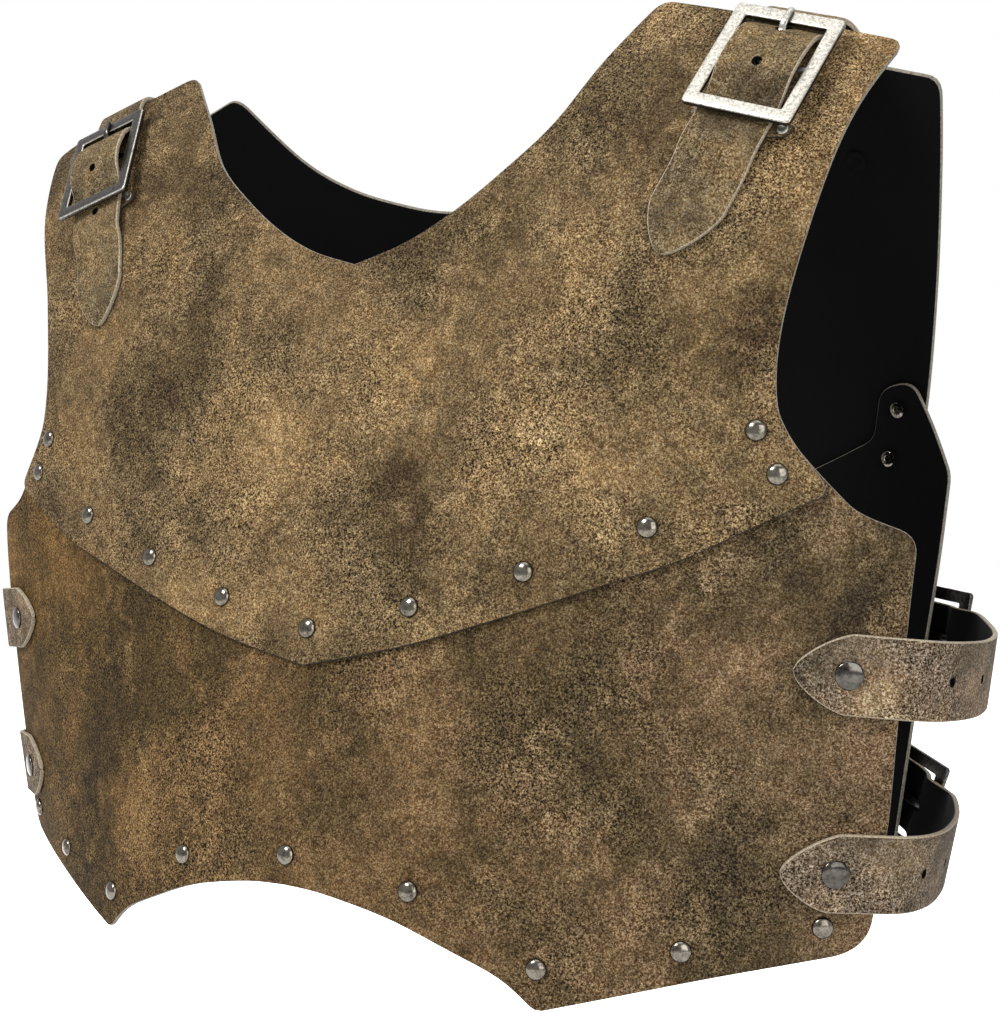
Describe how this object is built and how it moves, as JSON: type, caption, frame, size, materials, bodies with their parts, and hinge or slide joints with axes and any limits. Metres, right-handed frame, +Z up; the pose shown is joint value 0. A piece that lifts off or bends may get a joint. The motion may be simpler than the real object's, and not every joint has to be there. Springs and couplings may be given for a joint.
{
  "type": "leather chest armour",
  "caption": "Sleeveless leather chest armour in riveted overlapping panels, joined by buckled shoulder and side straps, open at neck, arms and hem.",
  "frame": {"origin": "on the wearer's shoulder line, halfway between the two sides and between front and back, where the wearer's shoulders carry the straps", "axes": "+Z up, the front faces -Y, +X is the wearer's left"},
  "size_m": [0.4958, 0.2656, 0.3892],
  "materials": {
    "leather": "mottled distressed tan-brown nubuck, matt",
    "dark_leather": "near-black leather, matt",
    "silver": "antique silver, brushed",
    "gunmetal": "gunmetal, polished domes"
  },
  "bodies": {
    "root": {"front_upper": "leather", "front_lower": "leather", "back_upper": "leather", "back_lower": "leather", "shoulder_strap_left": "leather", "shoulder_buckle_left": "silver", "shoulder_tongue_left": "silver", "shoulder_chape_left": "leather", "shoulder_rivet_left": "gunmetal", "side_upper_strap_left": "leather", "side_upper_buckle_left": "silver", "side_upper_tongue_left": "silver", "side_upper_chape_left": "dark_leather", "side_upper_rivet_left": "gunmetal", "side_lower_strap_left": "leather", "side_lower_buckle_left": "silver", "side_lower_tongue_left": "silver", "side_lower_chape_left": "dark_leather", "side_lower_rivet_left": "gunmetal", "shoulder_strap_right": "leather", "shoulder_buckle_right": "silver", "shoulder_tongue_right": "silver", "shoulder_chape_right": "leather", "shoulder_rivet_right": "gunmetal", "side_upper_strap_right": "leather", "side_upper_buckle_right": "silver", "side_upper_tongue_right": "silver", "side_upper_chape_right": "dark_leather", "side_upper_rivet_right": "gunmetal", "side_lower_strap_right": "leather", "side_lower_buckle_right": "silver", "side_lower_tongue_right": "silver", "side_lower_chape_right": "dark_leather", "side_lower_rivet_right": "gunmetal", "chest_rivet_0": "gunmetal", "chest_rivet_1_left": "gunmetal", "chest_rivet_1_right": "gunmetal", "chest_rivet_2_left": "gunmetal", "chest_rivet_2_right": "gunmetal", "chest_rivet_3_left": "gunmetal", "chest_rivet_3_right": "gunmetal", "chest_rivet_4_left": "gunmetal", "chest_rivet_4_right": "gunmetal", "chest_rivet_5_left": "gunmetal", "chest_rivet_5_right": "gunmetal", "hem_rivet_0": "gunmetal", "hem_rivet_1_left": "gunmetal", "hem_rivet_1_right": "gunmetal", "hem_rivet_2_left": "gunmetal", "hem_rivet_2_right": "gunmetal", "hem_rivet_3_left": "gunmetal", "hem_rivet_3_right": "gunmetal", "hem_rivet_4_left": "gunmetal", "hem_rivet_4_right": "gunmetal", "blade_rivet_0_left": "gunmetal", "blade_rivet_0_right": "gunmetal", "blade_rivet_1_left": "gunmetal", "blade_rivet_1_right": "gunmetal"}
  },
  "joints": []
}
